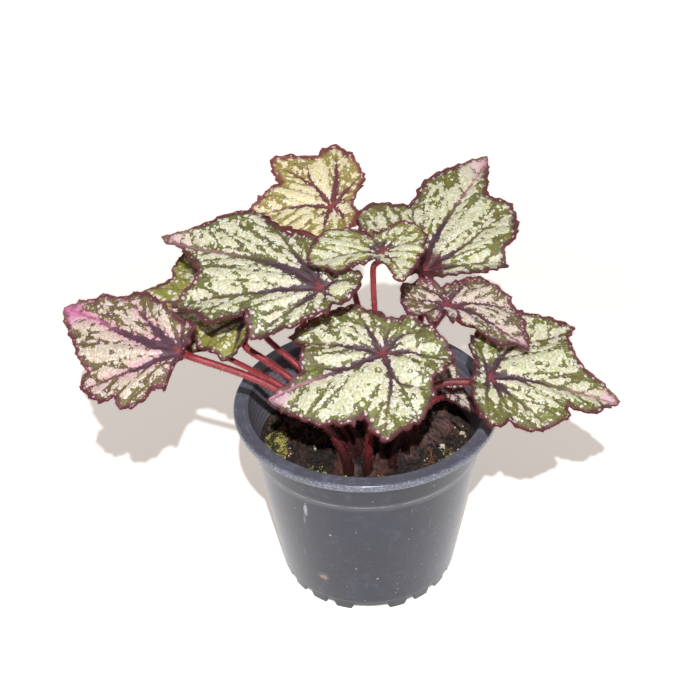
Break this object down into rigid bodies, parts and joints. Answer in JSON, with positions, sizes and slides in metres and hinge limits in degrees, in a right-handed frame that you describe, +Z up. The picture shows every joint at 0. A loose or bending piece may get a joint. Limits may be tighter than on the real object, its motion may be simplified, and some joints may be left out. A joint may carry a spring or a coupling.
{
  "type": "potted rex begonia",
  "caption": "Rex begonia with lobed silver-spotted leaves on long red stalks, growing from a creeping rhizome in soil in a tapered round nursery pot on short feet.",
  "frame": {"origin": "on the floor, at the middle of the footprint of the whole plant; the pot's own axis stands at x = 12.1 mm, y = -16.9 mm", "axes": "+Z up, +X to the right and +Y to the back as seen from the picture's side"},
  "size_m": [0.2452, 0.1538, 0.1831],
  "materials": {
    "pot_plastic": "black injection-moulded plastic, satin, scuffed on the rim",
    "potting_soil": "damp crumbly peat mix with bark and fibres",
    "rhizome_bark": "rough brown-grey skin with a pink tinge",
    "stalk": "fleshy red stem, slightly hairy, soft shine",
    "leaf_green": "cream and silver dots on green, dark maroon veins and edge, maroon underside",
    "leaf_pink": "pink and silver dots on green, dark purple veins and edge, maroon underside",
    "leaf_yellow": "cream-yellow dots on olive green, maroon veins and edge, maroon underside",
    "moss": "short yellow-green moss",
    "perlite": "porous white mineral grains",
    "dry_scale": "thin dry papery scale"
  },
  "bodies": {
    "root": {"pot": "pot_plastic", "soil": "potting_soil", "rhizome": "rhizome_bark", "blade_far_left": "leaf_pink", "stalk_far_left": "stalk", "blade_big_left": "leaf_green", "stalk_big_left": "stalk", "blade_under_left": "leaf_green", "stalk_under_left": "stalk", "blade_top": "leaf_yellow", "stalk_top": "stalk", "blade_top_right": "leaf_green", "stalk_top_right": "stalk", "blade_centre": "leaf_green", "stalk_centre": "stalk", "blade_front": "leaf_green", "stalk_front": "stalk", "blade_right_middle": "leaf_pink", "stalk_right_middle": "stalk", "blade_right_low": "leaf_green", "stalk_right_low": "stalk", "blade_young": "leaf_green", "stalk_young": "stalk", "blade_hidden_left": "leaf_green", "stalk_hidden_left": "stalk", "blade_hidden_back": "leaf_green", "stalk_hidden_back": "stalk", "moss_left": "moss", "moss_front_left": "moss", "moss_front": "moss", "moss_right": "moss", "moss_back": "moss", "perlite_1": "perlite", "perlite_2": "perlite", "perlite_3": "perlite", "perlite_4": "perlite", "perlite_5": "perlite", "perlite_6": "perlite", "perlite_7": "perlite", "perlite_8": "perlite", "scale_1": "dry_scale", "scale_2": "dry_scale", "scale_3": "dry_scale", "scale_4": "dry_scale"}
  },
  "joints": []
}
